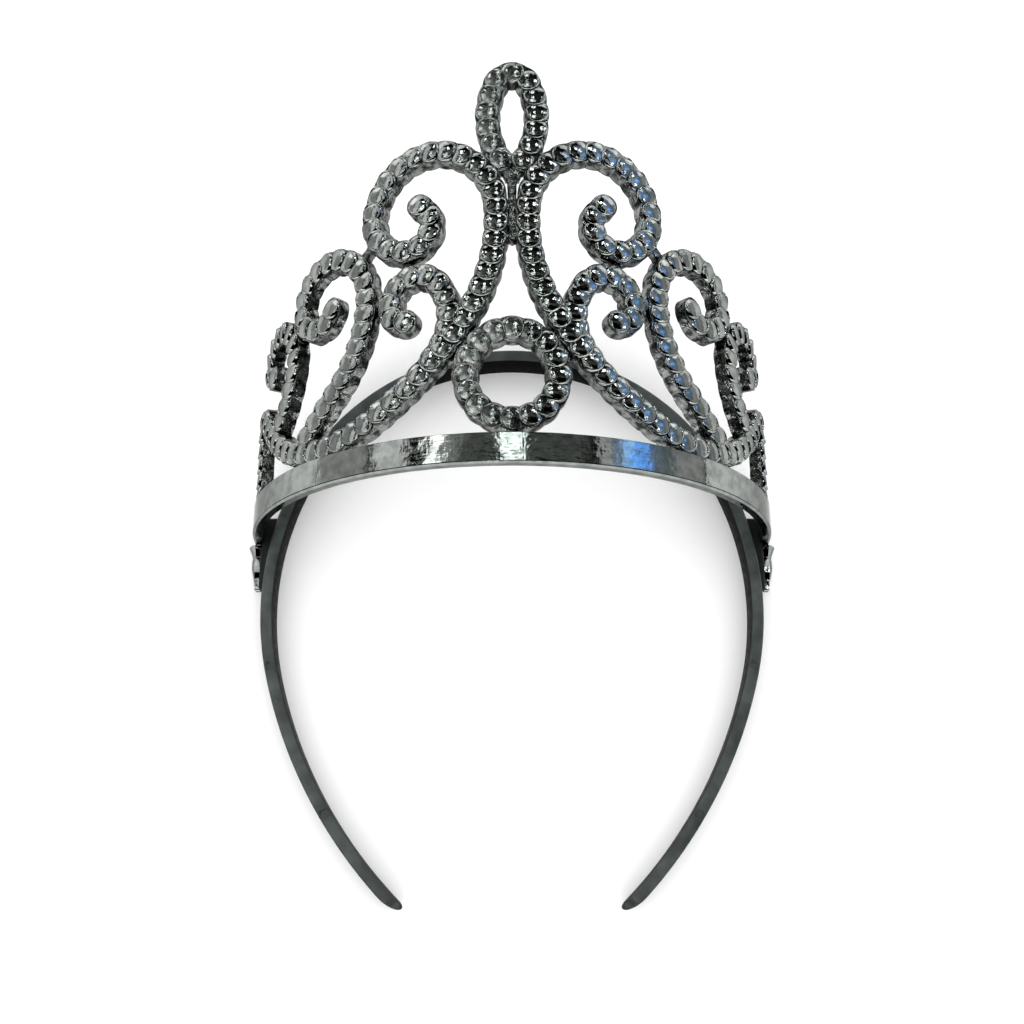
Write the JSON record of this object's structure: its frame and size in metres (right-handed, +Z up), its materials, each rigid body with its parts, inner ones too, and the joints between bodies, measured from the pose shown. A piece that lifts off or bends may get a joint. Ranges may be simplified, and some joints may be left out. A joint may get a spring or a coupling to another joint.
{
  "type": "crown headband",
  "caption": "Mini crown headband: a silvered beaded openwork crown on a smooth half hoop, carried by a plain black plastic headband and lying on its back edge.",
  "frame": {"origin": "middle of the headband's back edge at the top of its arch, on the surface that the part lies on", "axes": "+X across the headband from tip side to tip side, +Y from the open tips towards the crown's point, +Z up from the back edge, towards the top of the crown's half hoop"},
  "size_m": [0.1268, 0.1783, 0.0658],
  "materials": {
    "black_plastic": "moulded, satin",
    "silver_plating": "vacuum plated plastic, mirror bright, a dark silver"
  },
  "bodies": {
    "root": {"headband": "black_plastic", "crown": "silver_plating"}
  },
  "joints": []
}
